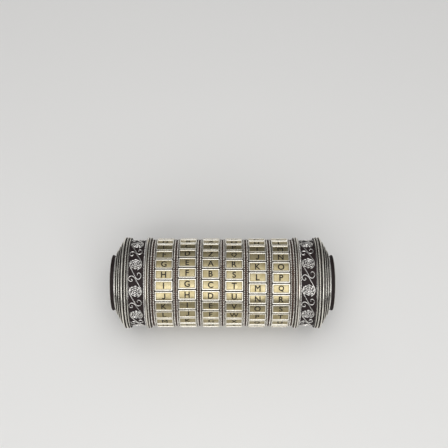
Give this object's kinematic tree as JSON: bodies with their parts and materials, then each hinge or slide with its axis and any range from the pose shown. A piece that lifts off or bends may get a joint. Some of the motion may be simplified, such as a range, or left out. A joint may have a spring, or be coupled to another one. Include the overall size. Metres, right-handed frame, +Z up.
{
  "type": "cryptex",
  "caption": "Cylindrical letter lock with turning letter rings between ornate caps; one cap pulls out with a hidden cartridge when the code is set.",
  "frame": {"origin": "centre of the cylinder's box, on its axis, midway between the two end faces", "axes": "+X along the cylinder towards the cap that pulls out, +Z up as the cryptex lies on its side"},
  "size_m": [0.127, 0.0526, 0.0526],
  "materials": {
    "tile_brass": "satin",
    "antique_bronze": "satin",
    "relief_pewter": "satin",
    "tube_brass": "satin",
    "spring_steel": "satin"
  },
  "bodies": {
    "lock_body": {"lock_tube": "tube_brass", "retaining_collar": "antique_bronze", "snap_ring": "spring_steel", "index_pointer": "relief_pewter", "spacer_ring_1": "antique_bronze", "spacer_ring_2": "antique_bronze", "spacer_ring_3": "antique_bronze", "spacer_ring_4": "antique_bronze", "spacer_ring_5": "antique_bronze", "spacer_ring_6": "antique_bronze", "detent_leaf_1": "spring_steel", "detent_leaf_2": "spring_steel", "detent_leaf_3": "spring_steel", "detent_leaf_4": "spring_steel", "detent_leaf_5": "spring_steel", "detent_leaf_6": "spring_steel", "fixed_cap_drum": "antique_bronze", "fixed_scroll_band": "relief_pewter", "fixed_outer_flange": "antique_bronze", "fixed_step_disc": "antique_bronze", "fixed_medallion": "relief_pewter", "fixed_cap_screw": "spring_steel"},
    "ring_1": {"letter_ring_1": "tile_brass", "code_ring_1": "tube_brass"},
    "ring_2": {"letter_ring_2": "tile_brass", "code_ring_2": "tube_brass"},
    "ring_3": {"letter_ring_3": "tile_brass", "code_ring_3": "tube_brass"},
    "ring_4": {"letter_ring_4": "tile_brass", "code_ring_4": "tube_brass"},
    "ring_5": {"letter_ring_5": "tile_brass", "code_ring_5": "tube_brass"},
    "ring_6": {"letter_ring_6": "tile_brass", "code_ring_6": "tube_brass"},
    "cartridge": {"cartridge_tube": "tube_brass", "cartridge_lugs": "spring_steel", "sliding_cap_drum": "antique_bronze", "sliding_scroll_band": "relief_pewter", "sliding_outer_flange": "antique_bronze", "sliding_step_disc": "antique_bronze", "sliding_medallion": "relief_pewter", "sliding_cap_screw": "spring_steel"}
  },
  "joints": [
    {"name": "ring_1_turn", "type": "hinge", "parent": "lock_body", "child": "ring_1", "pos_m": [-0.03238, 0, 0], "axis": [1, 0, 0], "continuous": true},
    {"name": "ring_2_turn", "type": "hinge", "parent": "lock_body", "child": "ring_2", "pos_m": [-0.01943, 0, 0], "axis": [1, 0, 0], "continuous": true},
    {"name": "ring_3_turn", "type": "hinge", "parent": "lock_body", "child": "ring_3", "pos_m": [-0.00647, 0, 0], "axis": [1, 0, 0], "continuous": true},
    {"name": "ring_4_turn", "type": "hinge", "parent": "lock_body", "child": "ring_4", "pos_m": [0.00647, 0, 0], "axis": [1, 0, 0], "continuous": true},
    {"name": "ring_5_turn", "type": "hinge", "parent": "lock_body", "child": "ring_5", "pos_m": [0.01943, 0, 0], "axis": [1, 0, 0], "continuous": true},
    {"name": "ring_6_turn", "type": "hinge", "parent": "lock_body", "child": "ring_6", "pos_m": [0.03238, 0, 0], "axis": [1, 0, 0], "continuous": true},
    {"name": "cartridge_slide", "type": "slide", "parent": "lock_body", "child": "cartridge", "axis": [1, 0, 0], "range_m": [0, 0.0903]}
  ]
}
